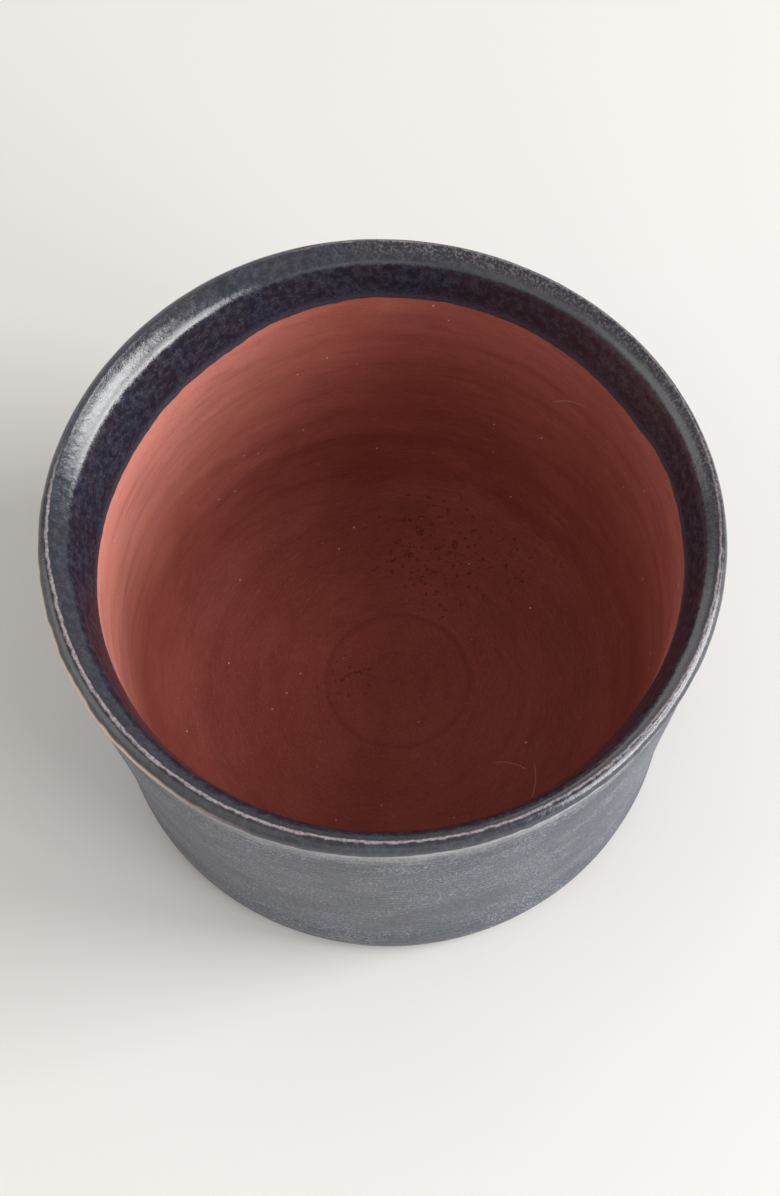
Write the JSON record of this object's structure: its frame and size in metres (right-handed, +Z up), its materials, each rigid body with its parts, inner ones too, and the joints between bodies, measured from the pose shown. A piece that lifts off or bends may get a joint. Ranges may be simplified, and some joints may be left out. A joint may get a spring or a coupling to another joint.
{
  "type": "ceramic bowl",
  "caption": "Deep wheel-thrown bowl of red clay, bare inside, with a satin glazed wall and a thick gloss glaze over its rounded lip.",
  "frame": {"origin": "centre of the plane that the foot stands on", "axes": "+Z up along the turning axis, from the foot to the lip; X and Y lie in the foot plane"},
  "size_m": [0.18, 0.18, 0.114],
  "materials": {
    "red_clay": "matte, bare fired red clay with fine turning lines",
    "satin_glaze": "satin slate blue with brushed streaks",
    "gloss_glaze": "glossy mottled blue-black"
  },
  "bodies": {
    "root": {"clay_body": "red_clay", "wall_glaze": "satin_glaze", "rim_glaze": "gloss_glaze"}
  },
  "joints": []
}
